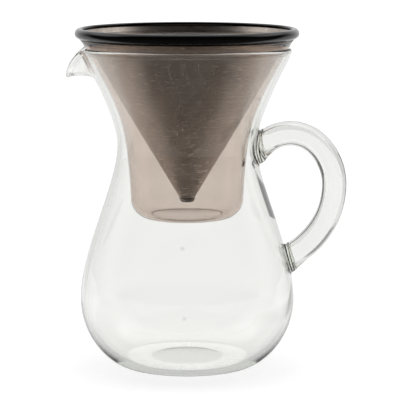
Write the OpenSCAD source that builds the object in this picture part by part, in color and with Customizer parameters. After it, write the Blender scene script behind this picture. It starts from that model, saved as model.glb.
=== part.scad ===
// Coffee server: a blown glass carafe with a drawn pouring lip and a hollow tube handle,
// a smoke resin holder that hangs in its mouth, and a steel cone filter that hangs in the holder.
// Millimetres, +Z up. The origin is the centre of the foot, the lip points to -X, the handle to +X.

/* [Glass body] */
// Radius of the flat foot that the carafe stands on
foot_r = 34; // [28:0.5:38]
// Radius of the shallow hollow pushed up under the foot
punt_r = 20; // [10:0.5:26]
// Height of that hollow at the axis
punt_h = 1.2; // [0.4:0.1:3]
// Largest outside radius, at the belly
belly_r = 59; // [54:0.1:64]
// Height of the belly's widest line
belly_z = 37.4; // [34:0.1:42]
// Smallest outside radius, at the waist
waist_r = 38.3; // [36.5:0.1:42]
// Height of the waist
waist_z = 122; // [117:0.5:127]
// Radius of the rim, at the middle of its bead
rim_r = 57.2; // [54:0.1:61]
// Height of the rim, at the middle of its bead
rim_z = 174.6; // [168:0.1:182]
// How many times the neck's mean slope the wall has at the rim
rim_flare = 1.45; // [1.3:0.01:1.6]
// Thickness of the rim bead
bead_d = 3.2; // [2.8:0.1:4]
// Thickness of the glass wall
glass_t = 2.5; // [1.8:0.1:2.7]
// Thickness of the glass floor
floor_t = 3.5; // [2.5:0.1:5]
// How far the curve out of the foot stays flat
foot_ease = 6; // [3:0.5:9]
// How far the wall stays upright below the belly
belly_low = 24.7; // [20:0.1:28]
// How far the wall stays upright above the belly
belly_high = 27.4; // [22:0.1:32]
// How far the wall stays upright below the waist
waist_low = 20.6; // [16:0.1:26]
// How far the wall stays upright above the waist
waist_high = 15.5; // [12:0.1:20]
// How far the wall runs straight below the rim
rim_run = 8; // [5:0.5:12]

/* [Pouring lip] */
// Half of the angle of rim that the lip is drawn from
lip_half_angle = 19; // [14:0.5:24]
// How far the lip's tip stands out past the rim
lip_reach = 7.8; // [5:0.1:11]
// How far the lip's tip lies below the rim
lip_drop = 14; // [10:0.1:16]
// How far below the rim the wall begins to turn out into the lip
lip_root = 18.6; // [17.5:0.1:22]
// Extra swell of the lip's edge, half-way to the tip
lip_swell = 1.5; // [0:0.1:3]
// Fall of the lip's tongue at its tip, from level
lip_fall = 8; // [0:1:20]
// Thickness of the glass at the lip's tip
lip_t = 1.8; // [1.4:0.1:2.2]
// Thickness of the bead at the lip's tip
lip_bead_d = 2.4; // [2.3:0.1:3]

/* [Handle] */
// Outside diameter of the glass tube
tube_d = 13.6; // [11:0.1:15]
// Thickness of the tube's wall
tube_t = 2; // [1.4:0.1:3]
// Height where the tube's middle leaves the carafe at its upper weld
weld_z = 121.3; // [116:0.1:126]
// Rise of the tube out of the upper weld, from level
tube_rise = 30; // [20:1:36]
// Straight stretch from the upper weld to the first bend
tube_run = 9; // [7:0.5:14]
// Radius of the bend at the handle's top
bend_top_r = 21; // [18:0.5:25]
// Radius of the bend at the handle's back
bend_back_r = 30.5; // [26:0.5:36]
// Radius of the long bend down to the lower weld
bend_low_r = 44.5; // [40:0.5:50]
// Fall of the tube, from level, where the top bend ends
fall_top = 40; // [30:1:50]
// Fall of the tube, from level, where it runs in to the lower weld
fall_low = 143; // [138:1:150]
// Outside radius of the tube's flared end at the upper weld
flare_top_r = 9.2; // [8:0.1:11]
// Outside radius of the tube's flared end at the lower weld
flare_low_r = 7.8; // [7.6:0.1:10]
// Distance of the weld seam from the carafe's wall
seam_off = 1.3; // [0.8:0.1:2]
// Width of the weld seam
seam_w = 1.4; // [0.8:0.1:2]
// Height of the weld seam over the tube
seam_h = 0.6; // [0.3:0.1:1]

/* [Holder] */
// Height of the holder's rim over the carafe's rim
holder_rise = 5.9; // [4:0.1:7]
// Height of the holder
holder_h = 98.7; // [86:0.1:105]
// Height of the holder's bend over the waist
bend_rise = 12.9; // [10:0.1:16]
// Radius of the holder's bottom corner
holder_corner = 10.8; // [8:0.1:14]
// Thickness of the holder's wall and floor
holder_t = 1.7; // [1.3:0.1:2.2]
// Share of the way from the holder's foot to its bend where the wall is still straight
pull_low = 1.07; // [0.9:0.01:1.1]
// Share of the way from the holder's rim to its bend where the wall is still straight
pull_high = 0.88; // [0.8:0.01:0.95]
// Radius of the shallow recess under the holder
recess_r = 19.6; // [10:0.1:21]
// Depth of that recess
recess_h = 0.5; // [0.2:0.1:0.8]

/* [Filter] */
// Thickness of the steel sheet
sheet_t = 0.4; // [0.3:0.05:0.6]
// Radius of the cone where its tip is cut off
cone_tip_r = 3; // [2:0.1:6]
// Length of the cap over the tip
cap_h = 1.6; // [1.2:0.1:5]
// Thickness of the cap
cap_t = 0.4; // [0.3:0.1:1]
// Height of the ring over the holder's rim
ring_h = 5.9; // [5.8:0.1:8]
// Thickness of the ring's round bulge
bulge_d = 5.6; // [5:0.1:5.8]
// How far the ring stands out past the edge of the steel sheet
ring_wall = 3.2; // [2.9:0.1:4]
// How far the seat under the bulge stands out past the holder's rim
seat_over = 0.6; // [0.4:0.1:1]
// How far the ring's lip reaches in past the steel sheet
ring_cover = 0.3; // [0.2:0.1:0.6]
// How far the steel sheet goes up inside the ring, to just under its lip
sheet_in = 4.1; // [3:0.1:4.4]

/* [Clearances] */
// Gap between the rim bead and the holder that leans on it
seat_gap = 0.25; // [0.15:0.05:0.6]
// Room between the holder's foot and the inside of the waist
waist_room = 4.9; // [4:0.1:6]
// Room between the holder's bend and the inside of the waist
bend_room = 2.7; // [2.2:0.1:3.5]
// Room between the steel cone and the inside of the holder's rim
cone_room = 0.8; // [0.4:0.1:1.5]
// Room between the steel cone and the holder's bend
cone_bend_room = 2.3; // [1.5:0.1:3.5]
// Room between the filter's cap and the holder's floor
tip_room = 7.2; // [4:0.1:9]
// Gap round the steel sheet in the ring and in the cap
mould_gap = 0.05; // [0.02:0.01:0.1]

/* [Hidden] */
$fn = 96;
curve_steps = 14;
solve_steps = 30;

function mix(a, b, t) = a + (b - a) * t;
function unit(v) = v / norm(v);
function left_of(d) = [-d[1], d[0]];
function leaning(a) = [sin(a), cos(a)];
function polar(a) = [cos(a), sin(a)];

// A curve is four control points, each [radius, height].
function curve_at(c, t) = pow(1 - t, 3) * c[0] + 3 * pow(1 - t, 2) * t * c[1]
    + 3 * (1 - t) * t * t * c[2] + pow(t, 3) * c[3];
function curve_dir(c, t) = unit(pow(1 - t, 2) * (c[1] - c[0]) + 2 * (1 - t) * t * (c[2] - c[1])
    + t * t * (c[3] - c[2]));
// The part of a curve that follows t.
function curve_after(c, t) = [
    curve_at(c, t),
    mix(mix(c[1], c[2], t), mix(c[2], c[3], t), t),
    mix(c[2], c[3], t),
    c[3]
];
// Points along a curve, moved to its left by an amount that may change from one end to the other.
function curve_points(c, off0 = 0, off1 = 0) = [
    for (i = [0:curve_steps])
        let (t = i / curve_steps)
            curve_at(c, t) + mix(off0, off1, t) * left_of(curve_dir(c, t))
];
function reversed(list) = [for (i = [len(list) - 1:-1:0]) list[i]];
function t_at_height(c, z, lo = 0, hi = 1, n = solve_steps) =
    let (t = (lo + hi) / 2)
        n == 0 ? t
        : curve_at(c, t)[1] < z ? t_at_height(c, z, t, hi, n - 1)
        : t_at_height(c, z, lo, t, n - 1);

// Outer line of the glass, from the foot up to the rim.
rim_lean = atan(rim_flare * (rim_r - waist_r) / (rim_z - waist_z));
rim_dir = leaning(rim_lean);
rim_mid = [rim_r, rim_z];
rim_edge = rim_mid - glass_t / 2 * left_of(rim_dir);
foot_curve = [
    [foot_r, 0],
    [foot_r + foot_ease, 0],
    [belly_r, belly_z - belly_low],
    [belly_r, belly_z]
];
flank_curve = [
    [belly_r, belly_z],
    [belly_r, belly_z + belly_high],
    [waist_r, waist_z - waist_low],
    [waist_r, waist_z]
];
neck_curve = [
    [waist_r, waist_z],
    [waist_r, waist_z + waist_high],
    rim_edge - rim_run * rim_dir,
    rim_edge
];
function glass_line(off) = concat(
    curve_points(foot_curve, off, off),
    curve_points(flank_curve, off, off),
    curve_points(neck_curve, off, off)
);
function dome(r, h, z) = [for (i = [0:curve_steps]) let (s = i / curve_steps) [r * s, z + h * (1 - s * s)]];
wall_table = [for (p = glass_line(0)) [p[1], p[0]]];
function wall_r(z) = lookup(z, wall_table);

// The lip: the wall's own curve above the root, and the curve of the lip's tongue at its middle.
root_t = t_at_height(neck_curve, rim_z - lip_root);
plain_curve = curve_after(neck_curve, root_t);
root_dir = curve_dir(neck_curve, root_t);
tip_mid = rim_mid + [lip_reach, -lip_drop];
tip_dir = polar(-lip_fall);
tip_edge = tip_mid - lip_t / 2 * left_of(tip_dir);
tongue_rise_share = 0.28;
tongue_pull_share = 0.56;
tongue_curve = [
    plain_curve[0],
    plain_curve[0] + tongue_rise_share * lip_root * root_dir,
    tip_edge - tongue_pull_share * lip_root * tip_dir,
    tip_edge
];
lip_steps = 25;
bead_steps = 10;
lip_lap = 1;
lip_tuck = 0.1;
root_fade = 8;
side_fade = 6;
lap_angle = asin(lip_lap / rim_r);
bead_from = 0.84;

// One section of the lip at share u of its half angle: outer line, bead and inner line, as one loop.
function lip_share(u) = (1 + cos(180 * min(1, abs(u)))) / 2;
function lip_curve(w) =
    let (swell = [4 * lip_swell * w * (1 - w), 0])
        [for (i = [0:3]) mix(plain_curve[i], tongue_curve[i], w) + (i > 1 ? swell : [0, 0])];
function lip_section(u) =
    let (
        w = lip_share(u),
        c = lip_curve(w),
        side_tuck = lip_tuck * pow(min(1, abs(u)), side_fade),
        end_t = mix(glass_t, lip_t, w),
        end_dir = unit(c[3] - c[2]),
        bead_mid = c[3] + end_t / 2 * left_of(end_dir),
        bead_r = mix(bead_d, lip_bead_d, w) / 2 - side_tuck,
        bead_turn = 180 - asin((end_t / 2 - side_tuck) / bead_r),
        spots = [for (i = [1:curve_steps]) bead_from * i / curve_steps],
        outer = [
            for (t = spots)
                let (tuck = max(side_tuck, lip_tuck * pow(1 - t, root_fade)))
                    curve_at(c, t) + tuck * left_of(curve_dir(c, t))
        ],
        inner = [
            for (t = spots)
                let (tuck = max(side_tuck, lip_tuck * pow(1 - t, root_fade)))
                    curve_at(c, t) + (mix(glass_t, end_t, t) - tuck) * left_of(curve_dir(c, t))
        ],
        bead = [
            for (i = [0:bead_steps])
                let (a = mix(-bead_turn, bead_turn, i / bead_steps))
                    bead_mid + bead_r * (cos(a) * end_dir + sin(a) * left_of(end_dir))
        ],
        lap = plain_curve[0] - lip_lap * root_dir
    )
        concat(
            [lap + lip_tuck * left_of(root_dir)],
            outer,
            bead,
            reversed(inner),
            [lap + (glass_t - lip_tuck) * left_of(root_dir)]
        );
lip_angles = concat(
    [-lip_half_angle - lap_angle],
    [for (i = [0:lip_steps - 1]) lip_half_angle * ((2 * i + 1) / lip_steps - 1)],
    [lip_half_angle + lap_angle]
);

// The handle's middle line in the XZ plane: a straight run, three bends and a straight run back in.
tube_r = tube_d / 2;
weld_at = [wall_r(weld_z), weld_z];
top_from = weld_at + tube_run * polar(tube_rise);
function bend_mid(p, heading, r) = p - r * left_of(polar(heading));
function bend_end(mid, heading, r) = mid + r * left_of(polar(heading));
top_mid = bend_mid(top_from, tube_rise, bend_top_r);
back_from = bend_end(top_mid, -fall_top, bend_top_r);
back_mid = bend_mid(back_from, -fall_top, bend_back_r);
low_from = bend_end(back_mid, -90, bend_back_r);
low_mid = bend_mid(low_from, -90, bend_low_r);
low_end = bend_end(low_mid, -fall_low, bend_low_r);
low_dir = polar(-fall_low);
// Length of the lower run, from the last bend to the carafe's wall.
function run_to_wall(lo, hi, n = solve_steps) =
    let (s = (lo + hi) / 2, p = low_end + s * low_dir)
        n == 0 ? s : p[0] > wall_r(p[1]) ? run_to_wall(s, hi, n - 1) : run_to_wall(lo, s, n - 1);
low_run = run_to_wall(0, waist_r);
low_at = low_end + low_run * low_dir;
// The tube as rings, each [middle, heading, outside radius]. Its ends are carried on into the carafe.
tube_sides = 24;
bend_steps = 8;
flare_steps = 6;
tube_sink = flare_top_r;
function flare(from_wall, run, flare_r) =
    tube_r + (flare_r - tube_r) * pow(1 - max(0, from_wall) / run, 2);
function bend_rings(mid, from, to, r) = [
    for (i = [1:bend_steps])
        let (h = mix(from, to, i / bend_steps)) [mid + r * left_of(polar(h)), h, tube_r]
];
tube_rings = concat(
    [
        for (i = [-1:flare_steps])
            let (s = i < 0 ? -tube_sink : tube_run * i / flare_steps)
                [weld_at + s * polar(tube_rise), tube_rise, flare(s, tube_run, flare_top_r)]
    ],
    bend_rings(top_mid, tube_rise, -fall_top, bend_top_r),
    bend_rings(back_mid, -fall_top, -90, bend_back_r),
    bend_rings(low_mid, -90, -fall_low, bend_low_r),
    [
        for (i = [1:flare_steps + 1])
            let (s = i > flare_steps ? low_run + tube_sink : low_run * i / flare_steps)
                [low_end + s * low_dir, -fall_low, flare(low_run - s, low_run, flare_low_r)]
    ]
);

// The holder leans on the rim bead and passes the waist. Its wall bends between the two.
holder_rim_z = rim_z + holder_rise;
holder_z = holder_rim_z - holder_h;
holder_foot_r = waist_r - glass_t - waist_room;
holder_bend = [waist_r - glass_t - bend_room, waist_z + bend_rise];
bend_to_rim = rim_mid - holder_bend;
bead_reach = asin((bead_d / 2 + seat_gap) / norm(bend_to_rim));
holder_lean = atan2(bend_to_rim[0], bend_to_rim[1]) - bead_reach;
holder_rim_r = holder_bend[0] + (holder_rim_z - holder_bend[1]) * tan(holder_lean);
holder_rim = [holder_rim_r, holder_rim_z];
bend_to_foot = holder_bend - [holder_foot_r, holder_z + holder_corner];
holder_taper = atan2(bend_to_foot[0], bend_to_foot[1]);
corner_mid = [holder_foot_r - holder_corner * cos(holder_taper), holder_z + holder_corner];
holder_wall_from = corner_mid + holder_corner * polar(-holder_taper);
holder_curve = [
    holder_wall_from,
    mix(holder_wall_from, holder_bend, pull_low),
    mix(holder_rim, holder_bend, pull_high),
    holder_rim
];
function corner_arc(r) = [
    for (i = [0:curve_steps]) corner_mid + r * polar(mix(-90, -holder_taper, i / curve_steps))
];
holder_rim_in = holder_rim_r - holder_t / cos(holder_lean);

// The steel cone, from the cut tip up to its edge in the ring. It clears the holder's floor and bend.
cone_top_r = holder_rim_in - cone_room;
floor_slope = (cone_top_r - cone_tip_r) / (holder_h - holder_t - tip_room - cap_t);
bend_in_r = holder_bend[0] - holder_t - cone_bend_room;
bend_slope = (cone_top_r - bend_in_r) / (holder_rim_z - holder_bend[1]);
cone_slope = max(floor_slope, bend_slope);
cone_low_z = holder_rim_z - (cone_top_r - cone_tip_r) / cone_slope;
cone_wall = sheet_t * sqrt(1 + cone_slope * cone_slope);
function cone_r(z) = cone_tip_r + (z - cone_low_z) * cone_slope;

// The ring's outline: a flat seat, a round bulge and a rounded lip over the edge of the sheet.
sheet_top_z = holder_rim_z + sheet_in;
ring_r = cone_r(sheet_top_z) + ring_wall;
seat_r = holder_rim_r + seat_over;
ring_in_r = cone_r(sheet_top_z) - cone_wall - ring_cover;
ring_top_z = holder_rim_z + ring_h;
bulge_r = bulge_d / 2;
bulge_mid = [ring_r - bulge_r, ring_top_z - bulge_r];
inner_edge_share = 0.9;
inner_edge_r = inner_edge_share * min(ring_h - sheet_in - mould_gap, bulge_mid[0] - ring_in_r);
inner_edge_mid = [ring_in_r + inner_edge_r, ring_top_z - inner_edge_r];

module filled_glass(off) {
    rotate_extrude()
        polygon(concat([[0, -off]], glass_line(-off), [[0, rim_z]]));
}

module lip_notch() {
    across = rim_r / 4;
    above = rim_z + lip_root;
    rotate([0, 0, 180 - lip_half_angle])
        rotate_extrude(angle = 2 * lip_half_angle)
            polygon([
                plain_curve[0] - across * left_of(root_dir),
                plain_curve[0] + across * left_of(root_dir),
                [plain_curve[0][0] - across, above],
                [rim_r + across, above]
            ]);
}

module drawn_lip() {
    loops = [
        for (a = lip_angles)
            [for (p = lip_section(a / lip_half_angle)) [-p[0] * cos(a), -p[0] * sin(a), p[1]]]
    ];
    n = len(loops[0]);
    last = len(loops) - 1;
    skin = [
        for (j = [0:last - 1], i = [0:n - 1])
            let (k = (i + 1) % n, a = j * n + i, b = j * n + k, c = a + n, d = b + n)
                each [[a, b, c], [b, d, c]]
    ];
    caps = [
        for (i = [0:ceil(n / 2) - 2])
            let (a = i, b = i + 1, c = n - 1 - i, d = n - 2 - i, e = last * n)
                each concat(
                    [[a, c, b], [e + a, e + b, e + c]],
                    b == d ? [] : [[b, c, d], [e + b, e + d, e + c]]
                )
    ];
    polyhedron(points = [for (l = loops) each l], faces = concat(skin, caps), convexity = 6);
}

module glass_body() {
    color("#dfe8e6", 0.35) {
        difference() {
            union() {
                rotate_extrude()
                    polygon(concat(
                        dome(punt_r, punt_h, 0),
                        glass_line(0),
                        reversed(curve_points(neck_curve, glass_t, glass_t)),
                        reversed(curve_points(flank_curve, glass_t, glass_t)),
                        reversed(curve_points(foot_curve, floor_t, glass_t)),
                        reversed(dome(punt_r, punt_h, floor_t))
                    ));
                rotate_extrude()
                    translate(rim_mid)
                        circle(d = bead_d);
            }
            lip_notch();
        }
        drawn_lip();
    }
}

// The handle's tube as rings, each [middle, heading, outside radius], from weld to weld.
module glass_tube(rings) {
    n = tube_sides;
    last = len(rings) - 1;
    bore = n * len(rings);
    skins = [
        for (inset = [0, tube_t], g = rings, i = [0:n - 1])
            let (a = 360 * i / n, p = g[0] + (g[2] - inset) * cos(a) * left_of(polar(g[1])))
                [p[0], (g[2] - inset) * sin(a), p[1]]
    ];
    walls = [
        for (j = [0:last - 1], i = [0:n - 1])
            let (k = (i + 1) % n, a = j * n + i, b = j * n + k, c = a + n, d = b + n)
                each [
                    [a, b, c],
                    [b, d, c],
                    [bore + a, bore + c, bore + b],
                    [bore + b, bore + c, bore + d]
                ]
    ];
    ends = [
        for (i = [0:n - 1])
            let (k = (i + 1) % n, e = last * n)
                each [
                    [i, bore + i, k],
                    [k, bore + i, bore + k],
                    [e + i, e + k, bore + e + i],
                    [e + k, bore + e + k, bore + e + i]
                ]
    ];
    polyhedron(points = skins, faces = concat(walls, ends), convexity = 6);
}

// The raised seam of a weld: a band of sleeve round the tube's end, cut out at a distance from the wall.
module weld_seam(at, heading, run, flare_r) {
    spots = [for (i = [0:flare_steps]) run * i / flare_steps];
    intersection() {
        translate([at[0], 0, at[1]])
            rotate([0, 90 - heading, 0])
                rotate_extrude()
                    polygon(concat(
                        [[flare_r + seam_h, -tube_sink]],
                        [for (s = spots) [flare(s, run, flare_r) + seam_h, s]],
                        [for (s = reversed(spots)) [flare(s, run, flare_r) - tube_t / 2, s]],
                        [[flare_r - tube_t / 2, -tube_sink]]
                    ));
        difference() {
            filled_glass(seam_off + seam_w);
            filled_glass(seam_off);
        }
    }
}

module handle() {
    color("#dfe8e6", 0.35) {
        difference() {
            glass_tube(tube_rings);
            filled_glass(0);
        }
        weld_seam(weld_at, tube_rise, tube_run, flare_top_r);
        weld_seam(low_at, 180 - fall_low, low_run, flare_low_r);
    }
}

module holder_cup() {
    inner_wall = curve_points(holder_curve, holder_t, holder_t);
    color("#b9a99d", 0.6)
        rotate_extrude()
            polygon(concat(
                [
                    [0, holder_z + recess_h],
                    [recess_r - recess_h, holder_z + recess_h],
                    [recess_r, holder_z]
                ],
                corner_arc(holder_corner),
                curve_points(holder_curve),
                [[holder_rim_in, holder_rim_z]],
                [for (i = [curve_steps - 1:-1:0]) inner_wall[i]],
                reversed(corner_arc(holder_corner - holder_t)),
                [[0, holder_z + holder_t]]
            ));
}

module filter_cone() {
    color("#8d8984")
        rotate_extrude()
            polygon([
                [cone_tip_r, cone_low_z],
                [cone_r(sheet_top_z), sheet_top_z],
                [cone_r(sheet_top_z) - cone_wall, sheet_top_z],
                [cone_tip_r - cone_wall, cone_low_z]
            ]);
}

module filter_tip() {
    color("#a5a19b")
        difference() {
            rotate_extrude()
                polygon([
                    [0, cone_low_z - cap_t],
                    [cone_tip_r + cap_t, cone_low_z - cap_t],
                    [cone_r(cone_low_z + cap_h) + cap_t, cone_low_z + cap_h],
                    [0, cone_low_z + cap_h]
                ]);
            rotate_extrude()
                polygon([
                    [0, cone_low_z],
                    [cone_tip_r + mould_gap, cone_low_z],
                    [cone_r(cone_low_z + 2 * cap_h) + mould_gap, cone_low_z + 2 * cap_h],
                    [0, cone_low_z + 2 * cap_h]
                ]);
        }
}

module filter_ring() {
    lip_z = sheet_top_z + mould_gap;
    color("#1c1a19")
        rotate_extrude()
            polygon(concat(
                [
                    [cone_r(holder_rim_z) + mould_gap, holder_rim_z],
                    [seat_r, holder_rim_z],
                    [seat_r, bulge_mid[1] - bulge_r]
                ],
                [
                    for (i = [0:curve_steps])
                        bulge_mid + bulge_r * polar(mix(-90, 90, i / curve_steps))
                ],
                [
                    for (i = [0:curve_steps])
                        inner_edge_mid + inner_edge_r * polar(mix(90, 180, i / curve_steps))
                ],
                [[ring_in_r, lip_z], [cone_r(sheet_top_z) + mould_gap, lip_z]]
            ));
}

glass_body();
handle();
holder_cup();
filter_cone();
filter_tip();
filter_ring();
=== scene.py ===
import bmesh
import bpy
import numpy as np
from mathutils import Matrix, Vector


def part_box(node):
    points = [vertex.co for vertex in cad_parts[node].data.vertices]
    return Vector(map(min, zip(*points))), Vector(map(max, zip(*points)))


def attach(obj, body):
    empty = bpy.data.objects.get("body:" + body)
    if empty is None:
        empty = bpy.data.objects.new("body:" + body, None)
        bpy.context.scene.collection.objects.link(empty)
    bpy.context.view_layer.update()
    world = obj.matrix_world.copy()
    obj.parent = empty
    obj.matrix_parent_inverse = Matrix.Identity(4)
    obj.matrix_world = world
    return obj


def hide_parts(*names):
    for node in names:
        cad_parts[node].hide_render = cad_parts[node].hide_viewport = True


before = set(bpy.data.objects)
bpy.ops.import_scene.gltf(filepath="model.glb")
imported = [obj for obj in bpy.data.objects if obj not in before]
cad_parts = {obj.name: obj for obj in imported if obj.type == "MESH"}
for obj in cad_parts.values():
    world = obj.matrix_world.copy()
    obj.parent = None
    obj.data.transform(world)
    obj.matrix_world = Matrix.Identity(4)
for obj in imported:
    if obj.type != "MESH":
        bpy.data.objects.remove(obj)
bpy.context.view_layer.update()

# Glass body
# Heat-proof glass blown in a mould: a foot with a shallow hollow, a belly, a waist and a flared neck.
# The rim is melted to a bead, and the pouring lip is drawn out of it by hand while it is hot.
MM = 0.001
_, glass_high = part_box("glass_body")
bead_d = 3.2 * MM
rim_z = glass_high.z - bead_d / 2
rim_r = 57.2 * MM
waist_r, waist_z = 38.3 * MM, 122 * MM
belly_r, belly_z = 59 * MM, 37.4 * MM
foot_r, punt_r, punt_h = 34 * MM, 20 * MM, 1.2 * MM
glass_t, floor_t = 2.5 * MM, 3.5 * MM
foot_ease, belly_low, belly_high = 6 * MM, 24.7 * MM, 27.4 * MM
waist_low, waist_high, rim_run = 20.6 * MM, 15.5 * MM, 8 * MM
rim_flare = 1.45
lip_half_angle = np.radians(19)
lip_reach, lip_drop, lip_root, lip_swell = 7.8 * MM, 14 * MM, 18.6 * MM, 1.5 * MM
lip_fall = np.radians(8)
lip_t, lip_bead_d = 1.8 * MM, 2.4 * MM
root_pull, tip_pull = 0.28, 0.56
bead_from = 0.84
touching = 0.001 * MM
glass_tone, glass_ior = (0.98, 0.98, 0.973, 1), 1.474
glass_tint, glass_tint_density = (0.68, 0.8, 0.5, 1), 8


def curve_at(curve, t):
    """Points at shares t of a curve given by four [radius, height] control points."""
    t = np.asarray(t)[..., None]
    a, b, c, d = curve
    return (1 - t) ** 3 * a + 3 * (1 - t) ** 2 * t * b + 3 * (1 - t) * t**2 * c + t**3 * d


def curve_way(curve, t):
    """Unit directions at shares t of such a curve."""
    t = np.asarray(t)[..., None]
    a, b, c, d = curve
    way = (1 - t) ** 2 * (b - a) + 2 * (1 - t) * t * (c - b) + t**2 * (d - c)
    return way / np.linalg.norm(way, axis=-1, keepdims=True)


def left_of(way):
    return np.stack([-way[..., 1], way[..., 0]], axis=-1)


def beside(curve, t, off):
    """Points at shares t of a curve, moved to its left by off."""
    off = np.broadcast_to(off, np.shape(t))[..., None]
    return curve_at(curve, t) + off * left_of(curve_way(curve, t))


def turned(name, angles, profiles, loop=False):
    """Closed mesh through one profile of [radius, height] per angle. A loop's profile meets itself."""
    profiles = np.broadcast_to(profiles, (len(angles), *np.shape(profiles)[-2:]))
    r, z = profiles[..., 0], profiles[..., 1]
    points = np.stack([r * np.cos(angles)[:, None], r * np.sin(angles)[:, None], z], axis=-1)
    m, n = r.shape
    column, row = np.meshgrid(np.arange(m), np.arange(n if loop else n - 1), indexing="ij")
    beyond, above = (column + 1) % m, (row + 1) % n
    faces = np.stack([column * n + row, beyond * n + row, beyond * n + above, column * n + above], axis=-1)
    return closed_piece(name, points.reshape(-1, 3), faces.reshape(-1, 4))


def closed_piece(name, points, faces, weld=None):
    """Object at the origin with merged points, outward faces and smooth shading.

    Weld gives each point its share of the weld's marks.
    """
    mesh = bpy.data.meshes.new(name)
    mesh.from_pydata(points.tolist(), [], faces.tolist())
    if weld is not None:
        mesh.attributes.new("weld", "FLOAT", "POINT").data.foreach_set("value", weld)
    shell = bmesh.new()
    shell.from_mesh(mesh)
    bmesh.ops.remove_doubles(shell, verts=shell.verts, dist=touching)
    bmesh.ops.dissolve_degenerate(shell, edges=shell.edges, dist=touching)
    bmesh.ops.recalc_face_normals(shell, faces=shell.faces)
    shell.to_mesh(mesh)
    shell.free()
    mesh.shade_smooth()
    piece = bpy.data.objects.new(name, mesh)
    bpy.context.collection.objects.link(piece)
    return piece


rim_slope = rim_flare * (rim_r - waist_r) / (rim_z - waist_z)
rim_way = np.array([rim_slope, 1]) / np.hypot(rim_slope, 1)
rim_mid = np.array([rim_r, rim_z])
rim_edge = rim_mid - glass_t / 2 * left_of(rim_way)
foot_curve = np.array(
    [[foot_r, 0], [foot_r + foot_ease, 0], [belly_r, belly_z - belly_low], [belly_r, belly_z]]
)
flank_curve = np.array(
    [[belly_r, belly_z], [belly_r, belly_z + belly_high], [waist_r, waist_z - waist_low], [waist_r, waist_z]]
)
neck_curve = np.array(
    [[waist_r, waist_z], [waist_r, waist_z + waist_high], rim_edge - rim_run * rim_way, rim_edge]
)

# The neck is one curve up to the lip's root. Above it the plain wall and the lip's tongue are mixed by angle.
fine = np.linspace(0, 1, 400)
root_share = np.interp(rim_z - lip_root, curve_at(neck_curve, fine)[:, 1], fine)
root, root_way = curve_at(neck_curve, root_share), curve_way(neck_curve, root_share)
late = neck_curve[2] + (neck_curve[3] - neck_curve[2]) * root_share
early = neck_curve[1] + (neck_curve[2] - neck_curve[1]) * root_share
plain_curve = np.array([root, early + (late - early) * root_share, late, neck_curve[3]])
tip_way = np.array([np.cos(lip_fall), -np.sin(lip_fall)])
tip_edge = rim_mid + [lip_reach, -lip_drop] - lip_t / 2 * left_of(tip_way)
tongue_curve = np.array(
    [root, root + root_pull * lip_root * root_way, tip_edge - tip_pull * lip_root * tip_way, tip_edge]
)


def rim_profile(share):
    """Outer wall, bead and inner wall above the root. Share is 0 at the plain rim and 1 at the lip's tip."""
    curve = plain_curve + (tongue_curve - plain_curve) * share
    curve[2:, 0] += 4 * lip_swell * share * (1 - share)
    end_t = glass_t + (lip_t - glass_t) * share
    bead_r = (bead_d + (lip_bead_d - bead_d) * share) / 2
    end_way = curve_way(curve, 1.0)
    bead_mid = curve[3] + end_t / 2 * left_of(end_way)
    wall = np.linspace(0, bead_from, 25)[1:]
    turn = np.pi - np.arcsin(end_t / 2 / bead_r)
    a = np.linspace(-turn, turn, 19)[:, None]
    bead = bead_mid + bead_r * (np.cos(a) * end_way + np.sin(a) * left_of(end_way))
    inner = beside(curve, wall, glass_t + (end_t - glass_t) * wall)
    return np.concatenate([curve_at(curve, wall), bead, inner[::-1]])


steps = np.linspace(0, 1, 33)
dome = np.stack([punt_r * steps, punt_h * (1 - steps**2)], axis=-1)[::4]
below_root = steps * root_share
outer_wall = np.concatenate(
    [
        dome,
        curve_at(foot_curve, steps),
        curve_at(flank_curve, steps)[1:],
        curve_at(neck_curve, below_root)[1:],
    ]
)
inner_wall = np.concatenate(
    [
        dome + [0, floor_t],
        beside(foot_curve, steps, floor_t + (glass_t - floor_t) * steps),
        beside(flank_curve, steps, glass_t)[1:],
        beside(neck_curve, below_root, glass_t)[1:],
    ]
)
round_lip = np.linspace(-lip_half_angle, lip_half_angle, 49)
round_rim = np.linspace(lip_half_angle, 2 * np.pi - lip_half_angle, 145)[1:-1]
from_lip = np.concatenate([round_lip, round_rim])
lip_share = (1 + np.cos(np.pi * np.clip(np.abs(from_lip) / lip_half_angle, 0, 1))) / 2
lip_share[len(round_lip) :] = 0
body_profiles = [np.concatenate([outer_wall, rim_profile(s), inner_wall[::-1]]) for s in lip_share]
glass_body = turned("carafe_glass", from_lip + np.pi, body_profiles)


def add(tree, kind, **settings):
    """New node of a tree with its settings."""
    node = tree.nodes.new(kind)
    for key, value in settings.items():
        setattr(node, key, value)
    return node


def join(tree, start, end):
    tree.links.new(end, start)


# Hot-worked glass isn't quite even: the height is for slow waves in its surface, the haze for marks of use.
worked = bpy.data.node_groups.new("worked_glass", "ShaderNodeTree")
worked.interface.new_socket("Waves Per Metre", in_out="INPUT", socket_type="NodeSocketFloat")
worked.interface.new_socket("Height", in_out="OUTPUT", socket_type="NodeSocketFloat")
worked.interface.new_socket("Haze", in_out="OUTPUT", socket_type="NodeSocketFloat")
group_in, group_out = add(worked, "NodeGroupInput"), add(worked, "NodeGroupOutput")
place = add(worked, "ShaderNodeTexCoord")
waves = add(worked, "ShaderNodeTexNoise")
waves.inputs["Detail"].default_value = 1
join(worked, place.outputs["Object"], waves.inputs["Vector"])
join(worked, group_in.outputs["Waves Per Metre"], waves.inputs["Scale"])
join(worked, waves.outputs["Fac"], group_out.inputs["Height"])
marks = add(worked, "ShaderNodeTexNoise")
marks.inputs["Scale"].default_value = 90
marks.inputs["Detail"].default_value = 4
haze = add(worked, "ShaderNodeMapRange")
haze.inputs["From Min"].default_value = 0.45
haze.inputs["From Max"].default_value = 0.8
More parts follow.
